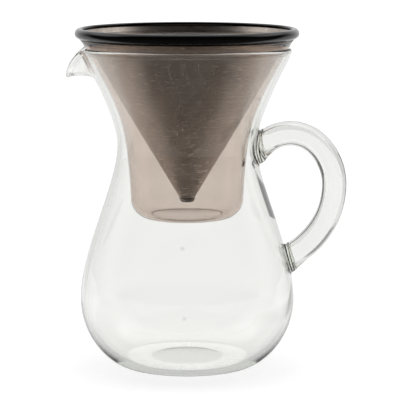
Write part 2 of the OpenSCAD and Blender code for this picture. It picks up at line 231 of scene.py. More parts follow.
haze.inputs["To Max"].default_value = 0.02
join(worked, place.outputs["Object"], marks.inputs["Vector"])
join(worked, marks.outputs["Fac"], haze.inputs["Value"])
join(worked, haze.outputs["Result"], group_out.inputs["Haze"])


def new_material(name):
    """New material, its node tree and its shader."""
    material = bpy.data.materials.new(name)
    material.use_nodes = True
    return material, material.node_tree, material.node_tree.nodes["Principled BSDF"]


def clear_material(name, tone, ior, tint, tint_density, waves_per_metre, wave_height):
    """Clear material with slow waves in its surface and a tint in its thickness."""
    material, tree, clear = new_material(name)
    clear.inputs["Base Color"].default_value = tone
    clear.inputs["Transmission Weight"].default_value = 1
    clear.inputs["IOR"].default_value = ior
    made = add(tree, "ShaderNodeGroup", node_tree=worked)
    made.inputs["Waves Per Metre"].default_value = waves_per_metre
    bump = add(tree, "ShaderNodeBump")
    bump.inputs["Distance"].default_value = wave_height
    join(tree, made.outputs["Height"], bump.inputs["Height"])
    join(tree, bump.outputs["Normal"], clear.inputs["Normal"])
    join(tree, made.outputs["Haze"], clear.inputs["Roughness"])
    depth_tint = add(tree, "ShaderNodeVolumeAbsorption")
    depth_tint.inputs["Color"].default_value = tint
    depth_tint.inputs["Density"].default_value = tint_density
    join(tree, depth_tint.outputs["Volume"], tree.nodes["Material Output"].inputs["Volume"])
    return material


def clear_glass(name, waves_per_metre, wave_height):
    """Clear heat-proof glass with a faint green in its thickness."""
    return clear_material(
        name, glass_tone, glass_ior, glass_tint, glass_tint_density, waves_per_metre, wave_height
    )


glass_body.data.materials.append(clear_glass("blown_glass", 24, 0.05 * MM))
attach(glass_body, "carafe")
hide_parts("glass_body")

# Handle
# One hollow glass tube, bent in the flame and welded to the body at both ends. Each end is flared, and the
# weld leaves a raised seam round it close to the body's wall. The bore is melted shut at the seam.
tube_r, bore_r, bore_dome = 6.8 * MM, 4.8 * MM, 0.3 * MM
weld_z, tube_rise, tube_run = 121.3 * MM, np.radians(30), 9 * MM
bends = ((21 * MM, np.radians(-40)), (30.5 * MM, np.radians(-90)), (44.5 * MM, np.radians(-143)))
flare_top_r, flare_low_r = 9.2 * MM, 7.8 * MM
seam_off, seam_w, seam_h, seam_sharp = 2 * MM, 0.8 * MM, 0.35 * MM, 1.6
melt_r = 1.1 * MM
weld_sink = 0.1 * MM
ring_crowd = 1.6
fused_mark, fused_edge, fused_depth = 3, 0.9 * melt_r, 0.75 * glass_t
# Painted shade: the seams and the bore's closed ends are darkened to a greyish green through the weld marks.
painted_seam_shade, bore_end_painted_shade, bore_end_rings = (0.44, 0.5, 0.3, 1), 0.3, 8
tube_sides = np.linspace(0, 2 * np.pi, 49)[:-1]
outer_line = outer_wall[len(dome) :]


def wall_r(z):
    return np.interp(z, outer_line[:, 1], outer_line[:, 0])


def heading(a):
    return np.array([np.cos(a), np.sin(a)])


def tube_points(mid, a, r, ahead=0):
    """Ring of points at radius r round a place of the handle's middle line. A side can lie ahead of it."""
    side = np.array([-np.sin(a), np.cos(a)])
    along = np.outer(ahead * np.ones(len(tube_sides)), heading(a))
    flat = mid + along + np.outer(r * np.cos(tube_sides), side)
    return np.stack([flat[:, 0], r * np.sin(tube_sides), flat[:, 1]], axis=-1)


def to_wall(weld, a, radius_at):
    """How far ahead of the weld's middle each side of a tube leaves the body's wall."""
    low, high = np.full(len(tube_sides), -2 * flare_top_r), np.full(len(tube_sides), tube_run)
    for _ in range(40):
        s = (low + high) / 2
        p = tube_points(weld, a, radius_at(s), s)
        outside = np.hypot(p[:, 0], p[:, 1]) > wall_r(p[:, 2]) - weld_sink
        low, high = np.where(outside, low, s), np.where(outside, s, high)
    return (low + high) / 2


def welded_end(weld, a, run, flare_r):
    """Rings from the weld's middle along the wall and out to the end of the flare, and their weld marks."""

    def flared(s):
        return tube_r + (flare_r - tube_r) * (1 - np.clip(s, 0, run) / run) ** 2

    start = to_wall(weld, a, flared)
    rings = [tube_points(weld, a, share * flared(start), share * start - weld_sink) for share in (0, 0.5)]
    marks = [fused_mark + 0 * start] * 3
    for share in np.linspace(0, 1, 40) ** ring_crowd:
        s = start + (run - start) * share
        off = s - start - weld_sink
        seam = np.cos(np.clip((off - seam_off) / seam_w * seam_sharp, -1, 1) * np.pi / 2) ** 2
        melt = melt_r * (1 - np.sqrt(1 - np.clip(1 - np.maximum(off, 0) / melt_r, 0, 1) ** 2))
        rings.append(tube_points(weld, a, flared(s) + seam_h * seam + melt, s))
        marks.append(seam)
    del marks[3]
    return rings, marks


def bore_end(weld, a, run):
    """Rings of the bore from its rounded end at the seam."""
    start = to_wall(weld, a, lambda s: bore_r)
    rings = []
    for turn in np.linspace(0, np.pi / 2, 9):
        ahead = start * np.sin(turn) + seam_off + bore_dome * (1 - np.cos(turn))
        rings.append(tube_points(weld, a, bore_r * np.sin(turn), ahead))
    for share in np.linspace(0, 1, 6)[1:]:
        rings.append(tube_points(weld, a, bore_r, (start + seam_off + bore_dome) * (1 - share) + run * share))
    return rings


weld_at = np.array([wall_r(weld_z), weld_z])
bend_from, bend_way = weld_at + tube_run * heading(tube_rise), tube_rise
tube_middle = []
for bend_r, bend_to in bends:
    bend_mid = bend_from - bend_r * left_of(heading(bend_way))
    for a in np.linspace(bend_way, bend_to, 25)[1:]:
        tube_middle.append((bend_mid + bend_r * left_of(heading(a)), a))
    bend_from, bend_way = tube_middle[-1]
reach = np.linspace(0, waist_r, 4000)
inward = bend_from + reach[:, None] * heading(bend_way)
low_run = reach[np.argmax(inward[:, 0] < wall_r(inward[:, 1]))]
low_weld = bend_from + low_run * heading(bend_way)


def turned_round(loops):
    """Loops made looking out of the wall, turned to go on from the bends."""
    return [np.roll(loop[::-1], tube_sides.size // 2 + 1, axis=0) for loop in loops[::-1]]


def ring_skin(name, loops, marks=None):
    """Skin through rings of points, from the first ring to the last."""
    loops = np.array(loops)
    rings_n, sides_n = loops.shape[:2]
    ring, side = np.meshgrid(np.arange(rings_n - 1), np.arange(sides_n), indexing="ij")
    here, beyond, next_side = ring * sides_n, (ring + 1) * sides_n, (side + 1) % sides_n
    faces = np.stack([here + side, here + next_side, beyond + next_side, beyond + side], axis=-1)
    return closed_piece(name, loops.reshape(-1, 3), faces.reshape(-1, 4), marks)


def reckon(tree, operation, *values, kind="ShaderNodeMath", result=0):
    """Math node on sockets or numbers. Returns its result."""
    node = add(tree, kind, operation=operation)
    for socket, value in zip(node.inputs, values):
        if isinstance(value, bpy.types.NodeSocket):
            join(tree, value, socket)
        else:
            socket.default_value = value
    return node.outputs[result]


upper, upper_marks = welded_end(weld_at, tube_rise, tube_run, flare_top_r)
lower, lower_marks = welded_end(low_weld, bend_way + np.pi, low_run, flare_low_r)
bent = [tube_points(m, a, tube_r) for m, a in tube_middle]
tube_marks = np.array(upper_marks + [0 * tube_sides] * len(bent) + turned_round(lower_marks)[1:])
handle = ring_skin("handle_tube", upper + bent + turned_round(lower)[1:], tube_marks.ravel())
bent = [tube_points(m, a, bore_r) for m, a in tube_middle]
upper, lower = bore_end(weld_at, tube_rise, tube_run), bore_end(low_weld, bend_way + np.pi, low_run)
# The bore's closed ends get painted shade through these marks.
bore_marks = np.zeros((len(upper + bent + lower) - 1, len(tube_sides)))
bore_marks[:bore_end_rings] = bore_marks[-bore_end_rings:] = bore_end_painted_shade
bore = ring_skin("handle_bore", upper + bent + turned_round(lower)[1:], bore_marks.ravel())
bore.data.flip_normals()
both_skins = bmesh.new()
for skin in (handle.data, bore.data):
    both_skins.from_mesh(skin)
both_skins.to_mesh(handle.data)
both_skins.free()
bpy.data.objects.remove(bore)
tube_glass = clear_glass("flame_worked_glass", 40, 0.01 * MM)
tree = tube_glass.node_tree
weld = add(tree, "ShaderNodeAttribute", attribute_name="weld")
# Painted shade: the weld marks darken the colour to a greyish green at the seams and the bore's ends.
seam_shade_mix = add(tree, "ShaderNodeMix", data_type="RGBA")
seam_shade_mix.inputs["A"].default_value = glass_tone
seam_shade_mix.inputs["B"].default_value = painted_seam_shade
join(tree, weld.outputs["Fac"], seam_shade_mix.inputs["Factor"])
join(tree, seam_shade_mix.outputs["Result"], tree.nodes["Principled BSDF"].inputs["Base Color"])
unfused = reckon(tree, "LESS_THAN", weld.outputs["Fac"], fused_mark - 0.5)
join(tree, unfused, tree.nodes["Principled BSDF"].inputs["Alpha"])
handle.data.materials.append(tube_glass)

# Where the tube is melted on to the body the two are one glass, so there is no surface between them.
fused = bpy.data.node_groups.new("fused_patch", "ShaderNodeTree")
fused_inputs = {"Weld": "Vector", "Axis": "Vector", "Out": "Vector", "Run": "Float", "Flare": "Float"}
for key, kind in fused_inputs.items():
    fused.interface.new_socket(key, in_out="INPUT", socket_type="NodeSocket" + kind)
fused.interface.new_socket("Mask", in_out="OUTPUT", socket_type="NodeSocketFloat")
vectors = "ShaderNodeVectorMath"
group_in, group_out = add(fused, "NodeGroupInput"), add(fused, "NodeGroupOutput")
place = add(fused, "ShaderNodeTexCoord")
off = reckon(fused, "SUBTRACT", place.outputs["Object"], group_in.outputs["Weld"], kind=vectors)
along = reckon(fused, "DOT_PRODUCT", off, group_in.outputs["Axis"], kind=vectors, result=1)
across = reckon(fused, "CROSS_PRODUCT", off, group_in.outputs["Axis"], kind=vectors)
across = reckon(fused, "LENGTH", across, kind=vectors, result=1)
done = reckon(fused, "DIVIDE", reckon(fused, "MAXIMUM", along, 0), group_in.outputs["Run"])
left = reckon(fused, "SUBTRACT", 1, done)
edge = reckon(fused, "MULTIPLY", reckon(fused, "MULTIPLY", left, left), group_in.outputs["Flare"])
edge = reckon(fused, "ADD", edge, tube_r + fused_edge)
mask = reckon(fused, "LESS_THAN", across, edge)
out = reckon(fused, "DOT_PRODUCT", off, group_in.outputs["Out"], kind=vectors, result=1)
mask = reckon(fused, "MULTIPLY", mask, reckon(fused, "GREATER_THAN", out, -fused_depth))
join(fused, mask, group_out.inputs["Mask"])
tree = glass_body.data.materials[0].node_tree
clear = 1
for weld, a, run, flare_r in (
    (weld_at, tube_rise, tube_run, flare_top_r),
    (low_weld, bend_way + np.pi, low_run, flare_low_r),
):
    patch = add(tree, "ShaderNodeGroup", node_tree=fused)
    patch.inputs["Weld"].default_value = (weld[0], 0, weld[1])
    patch.inputs["Axis"].default_value = (np.cos(a), 0, np.sin(a))
    lean = np.arctan2(wall_r(weld[1] - MM) - wall_r(weld[1] + MM), 2 * MM)
    patch.inputs["Out"].default_value = (np.cos(lean), 0, np.sin(lean))
    patch.inputs["Run"].default_value = run
    patch.inputs["Flare"].default_value = flare_r - tube_r
    clear = reckon(tree, "SUBTRACT", clear, patch.outputs["Mask"])
join(tree, clear, tree.nodes["Principled BSDF"].inputs["Alpha"])
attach(handle, "carafe")
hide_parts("handle")

# Level marks
# Two small dots of pale enamel fired on to the front of the glass, one for half and one for a full fill.
# They are a few hundredths of a millimetre thick and follow the wall.
mark_r, mark_h = 1.1 * MM, 0.04 * MM
level_marks = {"level_mark_half": (-1.1 * MM, 36.6 * MM), "level_mark_full": (-2.2 * MM, 72.9 * MM)}
rim_turns = np.linspace(0, 2 * np.pi, 25)[:-1]
spread = np.array([0, 0.4, 0.75, 1, 1.04])
lift = np.array([1, 1, 0.9, 0.5, -0.5]) * mark_h
for mark_name, (mark_x, mark_z) in level_marks.items():
    across = mark_x + mark_r * spread[:, None] * np.cos(rim_turns)
    up = mark_z + mark_r * spread[:, None] * np.sin(rim_turns)
    out = wall_r(up) + lift[:, None]
    dot = np.stack([across, -np.sqrt(out**2 - across**2), up], axis=-1)
    mark = ring_skin(mark_name, dot)
    enamel, tree, paint = new_material(mark_name + "_enamel")
    paint.inputs["Alpha"].default_value = 0.16
    grain = add(tree, "ShaderNodeTexNoise")
    grain.inputs["Scale"].default_value = 2500
    shade = add(tree, "ShaderNodeValToRGB")
    shade.color_ramp.elements[0].color = (0.42, 0.42, 0.4, 1)
    shade.color_ramp.elements[1].color = (0.6, 0.6, 0.58, 1)
    place = add(tree, "ShaderNodeTexCoord")
    join(tree, place.outputs["Object"], grain.inputs["Vector"])
    join(tree, grain.outputs["Fac"], shade.inputs["Fac"])
    join(tree, shade.outputs["Color"], paint.inputs["Base Color"])
    mark.data.materials.append(enamel)
    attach(mark, "carafe")

# Holder
# A smoke resin cup moulded in one piece. It leans on the rim bead, passes the waist and is closed at the
# foot, with a shallow recess under its floor.
holder_low, holder_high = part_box("holder_cup")
holder_z, holder_rim_z, holder_rim_r = holder_low.z, holder_high.z, holder_high.x
holder_foot_r, holder_corner, holder_t = 30.9 * MM, 10.8 * MM, 1.7 * MM
holder_bend = np.array([33.1 * MM, 134.9 * MM])
pull_low, pull_high = 1.07, 0.88
recess_r, recess_h = 19.6 * MM, 0.5 * MM
rim_round = 0.4 * MM
resin_tone, resin_ior = (0.985, 0.975, 0.965, 1), 1.5
smoke_tint, smoke_density = (0.5, 0.27, 0.11, 1), 160
holder_rim = np.array([holder_rim_r, holder_rim_z])
foot_to_bend = holder_bend - [holder_foot_r, holder_z + holder_corner]
holder_taper = np.arctan2(*foot_to_bend)
corner_mid = np.array([holder_foot_r - holder_corner * np.cos(holder_taper), holder_z + holder_corner])
wall_from = corner_mid + holder_corner * heading(-holder_taper)
holder_curve = np.array(
    [
        wall_from,
        wall_from + (holder_bend - wall_from) * pull_low,
        holder_rim + (holder_bend - holder_rim) * pull_high,
        holder_rim,
    ]
)


def arc(mid, r, start, end, n):
    """Points of an arc, from angle start to end."""
    a = np.linspace(start, end, n)[:, None]
    return mid + r * np.concatenate([np.cos(a), np.sin(a)], axis=-1)


upright = np.linspace(0, 0.985, 60)
recess_edge = np.array([recess_r - recess_h / 2, holder_z + recess_h / 2])
holder_in = holder_rim - [holder_t / np.cos(np.arctan2(*(holder_rim - holder_bend))), 0]
holder_profile = np.concatenate(
    [
        [[0, holder_z + recess_h], [recess_r - 2 * recess_h, holder_z + recess_h]],
        arc(recess_edge, recess_h / 2, np.pi / 2, -np.pi / 2, 9),
        arc(corner_mid, holder_corner, -np.pi / 2, -holder_taper, 25),
        curve_at(holder_curve, upright)[1:],
        arc(holder_rim - [rim_round, rim_round], rim_round, 0, np.pi / 2, 7),
        arc(holder_in + [rim_round * 1.4, -rim_round], rim_round, np.pi / 2, np.pi, 7),
        beside(holder_curve, upright, holder_t)[:0:-1],
        arc(corner_mid, holder_corner - holder_t, -holder_taper, -np.pi / 2, 25),
        [[0, holder_z + holder_t]],
    ]
)
full_turn = np.linspace(0, 2 * np.pi, 193)[:-1]
holder = turned("holder_cup_resin", full_turn, holder_profile)
smoke = clear_material("smoke_resin", resin_tone, resin_ior, smoke_tint, smoke_density, 60, 0.02 * MM)
holder.data.materials.append(smoke)
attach(holder, "holder")
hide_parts("holder_cup")

# Filter cone
# Thin stainless sheet etched with rows of fine upright slots and rolled to a cone, plain along its upper edge
# and at its tip. Each row has as many slots as fit round it, so the rows don't line up.
cone_low, cone_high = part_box("filter_cone")
sheet_t = 0.4 * MM
tip_r = 3 * MM
cone_slope = (cone_high.x - tip_r) / (cone_high.z - cone_low.z)
cone_lean = np.arctan(cone_slope)
slot_pitch, row_pitch = 1.04 * MM, 2.8 * MM
slot_out, slot_in = (0.09 * MM, 2.3 * MM), (0.5 * MM, 2.5 * MM)
plain_tip_r, plain_edge = 6 * MM, 2.8 * MM
slots_z = cone_low.z + (plain_tip_r - tip_r) / cone_slope
slots_top_z = cone_high.z - plain_edge
slots_run = (slots_top_z - slots_z) / np.cos(cone_lean)
slot_rows = round(slots_run / row_pitch)
row_pitch = slots_run / slot_rows


def cone_band(name, z0, z1):
    """A plain stretch of the sheet between two heights."""
    into = sheet_t * np.array([-np.cos(cone_lean), np.sin(cone_lean)])
    low = np.array([tip_r + (z0 - cone_low.z) * cone_slope, z0])
    high = np.array([tip_r + (z1 - cone_low.z) * cone_slope, z1])
    return turned(name, full_turn, np.array([low, high, high + into, low + into]), loop=True)


# One cell of the sheet with its slot, in a unit square: the outer face lies at 0 and the inner face at 1.
square = np.array([[0, 0], [1, 0], [1, 1], [0, 1]], dtype=float)
cell_points = []
for depth, slot_size in enumerate((slot_out, slot_in)):
    slot = 0.5 + (square - 0.5) * slot_size / np.array([slot_pitch, row_pitch])
    cell_points += [(*p, depth) for p in np.concatenate([square, slot])]
cell_faces = []
for i in range(4):
    j = (i + 1) % 4
    cell_faces += [(i, j, 4 + j, 4 + i), (8 + j, 8 + i, 12 + i, 12 + j), (4 + i, 4 + j, 12 + j, 12 + i)]
cell_faces += [(1, 0, 8, 9), (3, 2, 10, 11)]
cell = bpy.data.meshes.new("slot_cell")
cell.from_pydata(cell_points, [], cell_faces)
slotted = bpy.data.objects.new("slotted_sheet", cell)
bpy.context.collection.objects.link(slotted)

sheet = bpy.data.node_groups.new("slotted_sheet", "GeometryNodeTree")
sheet.interface.new_socket("Geometry", in_out="INPUT", socket_type="NodeSocketGeometry")
sheet_sizes = {
    "Rows": ("NodeSocketInt", slot_rows),
    "Row Pitch": ("NodeSocketFloat", row_pitch),
    "Slot Pitch": ("NodeSocketFloat", slot_pitch),
    "Foot Radius": ("NodeSocketFloat", plain_tip_r),
    "Foot Height": ("NodeSocketFloat", slots_z),
    "Lean": ("NodeSocketFloat", cone_lean),
    "Sheet": ("NodeSocketFloat", sheet_t),
    "Material": ("NodeSocketMaterial", None),
}
sheet_ids = {
    key: sheet.interface.new_socket(key, in_out="INPUT", socket_type=kind).identifier
    for key, (kind, _) in sheet_sizes.items()
}
sheet.interface.new_socket("Geometry", in_out="OUTPUT", socket_type="NodeSocketGeometry")
sizes, made_sheet = add(sheet, "NodeGroupInput"), add(sheet, "NodeGroupOutput")


def calc(operation, *values):
    """Math node of the sheet's tree."""
    return reckon(sheet, operation, *values)


rows_in, rows_out = add(sheet, "GeometryNodeRepeatInput"), add(sheet, "GeometryNodeRepeatOutput")
rows_in.pair_with_output(rows_out)
join(sheet, sizes.outputs["Rows"], rows_in.inputs["Iterations"])
lean_sin, lean_cos = calc("SINE", sizes.outputs["Lean"]), calc("COSINE", sizes.outputs["Lean"])
row_from = calc("MULTIPLY", rows_in.outputs["Iteration"], sizes.outputs["Row Pitch"])
row_mid = calc("MULTIPLY_ADD", sizes.outputs["Row Pitch"], 0.5, row_from)
row_r = calc("MULTIPLY_ADD", row_mid, lean_sin, sizes.outputs["Foot Radius"])
slots_n = calc("ROUND", calc("DIVIDE", calc("MULTIPLY", row_r, 2 * np.pi), sizes.outputs["Slot Pitch"]))
strip = add(sheet, "GeometryNodeMeshLine")
strip.inputs["Offset"].default_value = (1, 0, 0)
join(sheet, slots_n, strip.inputs["Count"])
cells = add(sheet, "GeometryNodeInstanceOnPoints")
join(sheet, strip.outputs["Mesh"], cells.inputs["Points"])
join(sheet, sizes.outputs["Geometry"], cells.inputs["Instance"])
flat_row = add(sheet, "GeometryNodeRealizeInstances")
join(sheet, cells.outputs["Instances"], flat_row.inputs["Geometry"])
spot = add(sheet, "ShaderNodeSeparateXYZ")
join(sheet, add(sheet, "GeometryNodeInputPosition").outputs["Position"], spot.inputs["Vector"])
row_start = add(sheet, "FunctionNodeRandomValue")
row_start.inputs["Seed"].default_value = 3
join(sheet, rows_in.outputs["Iteration"], row_start.inputs["ID"])
along = calc("ADD", spot.outputs["X"], row_start.outputs[1])
turn = calc("MULTIPLY", calc("DIVIDE", along, slots_n), 2 * np.pi)
slant = calc("MULTIPLY_ADD", spot.outputs["Y"], sizes.outputs["Row Pitch"], row_from)
depth = calc("MULTIPLY", spot.outputs["Z"], sizes.outputs["Sheet"])
out_r = calc("MULTIPLY_ADD", slant, lean_sin, sizes.outputs["Foot Radius"])
out_r = calc("SUBTRACT", out_r, calc("MULTIPLY", depth, lean_cos))
height = calc("MULTIPLY_ADD", slant, lean_cos, sizes.outputs["Foot Height"])
height = calc("MULTIPLY_ADD", depth, lean_sin, height)
rolled_spot = add(sheet, "ShaderNodeCombineXYZ")
join(sheet, calc("MULTIPLY", out_r, calc("COSINE", turn)), rolled_spot.inputs["X"])
join(sheet, calc("MULTIPLY", out_r, calc("SINE", turn)), rolled_spot.inputs["Y"])
join(sheet, height, rolled_spot.inputs["Z"])
rolled = add(sheet, "GeometryNodeSetPosition")
join(sheet, flat_row.outputs["Geometry"], rolled.inputs["Geometry"])
join(sheet, rolled_spot.outputs["Vector"], rolled.inputs["Position"])
closed_row = add(sheet, "GeometryNodeMergeByDistance")
closed_row.inputs["Distance"].default_value = touching
join(sheet, rolled.outputs["Geometry"], closed_row.inputs["Geometry"])
all_rows = add(sheet, "GeometryNodeJoinGeometry")
join(sheet, closed_row.outputs["Geometry"], all_rows.inputs["Geometry"])
join(sheet, rows_in.outputs["Geometry"], all_rows.inputs["Geometry"])
join(sheet, all_rows.outputs["Geometry"], rows_out.inputs["Geometry"])
real = add(sheet, "GeometryNodeRealizeInstances")
join(sheet, rows_out.outputs["Geometry"], real.inputs["Geometry"])
painted = add(sheet, "GeometryNodeSetMaterial")
join(sheet, real.outputs["Geometry"], painted.inputs["Geometry"])
join(sheet, sizes.outputs["Material"], painted.inputs["Material"])
join(sheet, painted.outputs["Geometry"], made_sheet.inputs["Geometry"])

# Satin steel: fine rolling lines and painted glints in short bright dashes along the sheet, cloudy stains
# from hot coffee, and painted shade that darkens the steel toward the tip.
# Painted shade: below the given height the steel's tone is pulled down, more toward the tip.
painted_shade_top_z, painted_shade_depth, painted_shade_gain = 138 * MM, 40 * MM, 9
darkest_tone_share, glint_shine = 0.6, 1.3
satin = bpy.data.node_groups.new("satin_steel", "ShaderNodeTree")
for key in ("Lines Per Metre", "Painted Shade Top"):
    satin.interface.new_socket(key, in_out="INPUT", socket_type="NodeSocketFloat")
for key in ("Tone", "Height", "Glints"):
    satin.interface.new_socket(key, in_out="OUTPUT", socket_type="NodeSocketFloat")
group_in, group_out = add(satin, "NodeGroupInput"), add(satin, "NodeGroupOutput")
place = add(satin, "ShaderNodeTexCoord")
clouds = add(satin, "ShaderNodeTexNoise")
clouds.inputs["Scale"].default_value = 60
clouds.inputs["Detail"].default_value = 3
join(satin, place.outputs["Object"], clouds.inputs["Vector"])
height_up = add(satin, "ShaderNodeSeparateXYZ")
join(satin, place.outputs["Object"], height_up.inputs["Vector"])
# Painted shade, darker toward the tip below the given height.
tip_painted_shade = reckon(satin, "SUBTRACT", group_in.outputs["Painted Shade Top"], height_up.outputs["Z"])
tip_painted_shade = reckon(satin, "MINIMUM", reckon(satin, "MAXIMUM", tip_painted_shade, 0), painted_shade_depth)
tip_painted_shade = reckon(satin, "MULTIPLY", tip_painted_shade, painted_shade_gain)
join(satin, reckon(satin, "SUBTRACT", clouds.outputs["Fac"], tip_painted_shade), group_out.inputs["Tone"])
stretch = add(satin, "ShaderNodeMapping")
stretch.inputs["Scale"].default_value = (0.08, 0.08, 1)
lines = add(satin, "ShaderNodeTexNoise")
join(satin, place.outputs["Object"], stretch.inputs["Vector"])
join(satin, stretch.outputs["Vector"], lines.inputs["Vector"])
join(satin, group_in.outputs["Lines Per Metre"], lines.inputs["Scale"])
join(satin, lines.outputs["Fac"], group_out.inputs["Height"])
# Painted glints: short bright dashes of noise stretched along the sheet.
glint_stretch = add(satin, "ShaderNodeMapping")
glint_stretch.inputs["Scale"].default_value = (0.16, 0.16, 1)
glint_noise = add(satin, "ShaderNodeTexNoise")
glint_noise.inputs["Scale"].default_value = 1500
glint_noise.inputs["Detail"].default_value = 1
glint_noise.inputs["Distortion"].default_value = 0.6
glints = add(satin, "ShaderNodeMapRange")
glints.inputs["From Min"].default_value = 0.6
glints.inputs["From Max"].default_value = 0.72
join(satin, place.outputs["Object"], glint_stretch.inputs["Vector"])
join(satin, glint_stretch.outputs["Vector"], glint_noise.inputs["Vector"])
join(satin, glint_noise.outputs["Fac"], glints.inputs["Value"])
join(satin, glints.outputs["Result"], group_out.inputs["Glints"])


def satin_steel(name, dark, light, rough, lines_per_metre):
    """Stainless steel between two tones, with its rolling lines, painted glints, stains and painted shade."""
    material, tree, steel = new_material(name)
    steel.inputs["Metallic"].default_value = 1
    steel.inputs["Roughness"].default_value = rough
    made = add(tree, "ShaderNodeGroup", node_tree=satin)
    made.inputs["Lines Per Metre"].default_value = lines_per_metre
    made.inputs["Painted Shade Top"].default_value = painted_shade_top_z
    tone = add(tree, "ShaderNodeValToRGB")
    # The darkest tone is reached mostly where the painted shade pulls the tone down.
    tone.color_ramp.elements[0].color = (*[darkest_tone_share * c for c in dark], 1)
    tone.color_ramp.elements[1].position, tone.color_ramp.elements[1].color = 0.65, (*light, 1)
    tone.color_ramp.elements.new(0.35).color = (*dark, 1)
    bump = add(tree, "ShaderNodeBump")
    bump.inputs["Distance"].default_value = 0.02 * MM
    join(tree, made.outputs["Tone"], tone.inputs["Fac"])
    # The painted glints mix a brighter copy of the light tone into the colour.
    bright = add(tree, "ShaderNodeMix", data_type="RGBA")
    bright.inputs["B"].default_value = (*[min(1, glint_shine * c) for c in light], 1)
    join(tree, made.outputs["Glints"], bright.inputs["Factor"])
    join(tree, tone.outputs["Color"], bright.inputs["A"])
    join(tree, bright.outputs["Result"], steel.inputs["Base Color"])
    join(tree, made.outputs["Height"], bump.inputs["Height"])
    join(tree, bump.outputs["Normal"], steel.inputs["Normal"])
    return material


sheet_steel = satin_steel("etched_sheet_steel", (0.48, 0.415, 0.37), (0.585, 0.515, 0.46), 0.36, 1500)
roll = slotted.modifiers.new("rolled_sheet", "NODES")
roll.node_group = sheet
for key, (_, value) in sheet_sizes.items():
    roll[sheet_ids[key]] = sheet_steel if key == "Material" else value
depsgraph = bpy.context.evaluated_depsgraph_get()
rolled_mesh = bpy.data.meshes.new_from_object(slotted.evaluated_get(depsgraph), depsgraph=depsgraph)
slotted.modifiers.remove(roll)
filter_cone = cone_band("filter_cone_sheet", slots_top_z, cone_high.z)
tip_band = cone_band("filter_tip_band", cone_low.z, slots_z)
sheet_parts = bmesh.new()
for part in (filter_cone.data, tip_band.data, rolled_mesh):
    sheet_parts.from_mesh(part)
for face in sheet_parts.faces:
    face.material_index = 0
    face.smooth = False
bmesh.ops.recalc_face_normals(sheet_parts, faces=sheet_parts.faces)
sheet_parts.to_mesh(filter_cone.data)
sheet_parts.free()
filter_cone.data.shade_smooth()
filter_cone.data.set_sharp_from_angle(angle=np.radians(35))
for spare in (slotted, tip_band):
    bpy.data.objects.remove(spare)
filter_cone.data.materials.clear()
filter_cone.data.materials.append(sheet_steel)
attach(filter_cone, "filter")
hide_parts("filter_cone")

# Tip cap
# A small pressed steel cup that closes the cone's cut tip. Its edge is rolled tight round the sheet.
cap_low, cap_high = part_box("filter_tip")
cap_t, cap_round, cap_gap = 0.36 * MM, 0.35 * MM, 0.05 * MM
cap_foot_r = tip_r + cap_t
cap_top_r = cap_foot_r + (cap_high.z - cap_low.z) * cone_slope
cap_corner = np.array([cap_foot_r - cap_round, cap_low.z + cap_round])
cap_edge = np.array([cap_top_r - cap_t / 2, cap_high.z - cap_t / 2])
cap_profile = np.concatenate(
    [
        [[0, cap_low.z]],
        arc(cap_corner, cap_round, -np.pi / 2, -cone_lean, 8),
        arc(cap_edge, cap_t / 2, -cone_lean, np.pi - cone_lean, 10),
        [[tip_r + cap_gap, cap_low.z + cap_t], [0, cap_low.z + cap_t]],
    ]
)
tip_cap = turned("filter_tip_cap", full_turn[::3], cap_profile)
tip_cap.data.set_sharp_from_angle(angle=np.radians(50))
tip_cap.data.materials.append(satin_steel("pressed_steel", (0.3, 0.28, 0.26), (0.4, 0.38, 0.35), 0.3, 2500))
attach(tip_cap, "filter")
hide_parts("filter_tip")

# Filter ring
# A black resin ring moulded round the upper edge of the sheet: a thin flat seat that rests on the holder,
# a round bulge to lift it by, and a lip over the cut edge of the steel.
ring_low, ring_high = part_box("filter_ring")
ring_r, ring_z, ring_top_z = ring_high.x, ring_low.z, ring_high.z
seat_over, bulge_r = 0.6 * MM, 2.8 * MM
ring_cover, seat_gap = 0.3 * MM, 0.05 * MM
seat_r, lip_z = holder_rim_r + seat_over, cone_high.z + seat_gap
sheet_across = sheet_t / np.cos(cone_lean)
ring_in_r = cone_high.x - sheet_across - ring_cover
bulge_mid = np.array([ring_r - bulge_r, ring_top_z - bulge_r])
edge_r = 0.9 * min(ring_top_z - lip_z, bulge_mid[0] - ring_in_r)
sheet_at_seat = tip_r + (ring_z - cone_low.z) * cone_slope + seat_gap
crease = 0.25 * MM
ring_profile = np.concatenate(
    [
        [[sheet_at_seat, ring_z]],
        arc(np.array([seat_r - crease, ring_z + crease]), crease, -np.pi / 2, 0, 6),
        [[seat_r, bulge_mid[1] - bulge_r]],
        arc(bulge_mid, bulge_r, -np.pi / 2, np.pi / 2, 33),
        arc(np.array([ring_in_r + edge_r, ring_top_z - edge_r]), edge_r, np.pi / 2, np.pi, 12),
        [[ring_in_r, lip_z], [cone_high.x + seat_gap, lip_z]],
    ]
)
filter_ring = turned("filter_ring_resin", full_turn, ring_profile, loop=True)
filter_ring.data.set_sharp_from_angle(angle=np.radians(50))
black, tree, resin = new_material("black_resin")
place = add(tree, "ShaderNodeTexCoord")
mould = add(tree, "ShaderNodeTexNoise")
mould.inputs["Scale"].default_value = 1800
mould.inputs["Detail"].default_value = 2
wear = add(tree, "ShaderNodeTexNoise")
wear.inputs["Scale"].default_value = 70
shade = add(tree, "ShaderNodeValToRGB")
shade.color_ramp.elements[0].color = (0.0016, 0.0013, 0.0012, 1)
shade.color_ramp.elements[1].color = (0.004, 0.0033, 0.003, 1)
gloss = add(tree, "ShaderNodeMapRange")
gloss.inputs["To Min"].default_value = 0.1
gloss.inputs["To Max"].default_value = 0.17
bump = add(tree, "ShaderNodeBump")
bump.inputs["Strength"].default_value = 0.3
bump.inputs["Distance"].default_value = 0.01 * MM
for texture in (mould, wear):
    join(tree, place.outputs["Object"], texture.inputs["Vector"])
join(tree, wear.outputs["Fac"], shade.inputs["Fac"])
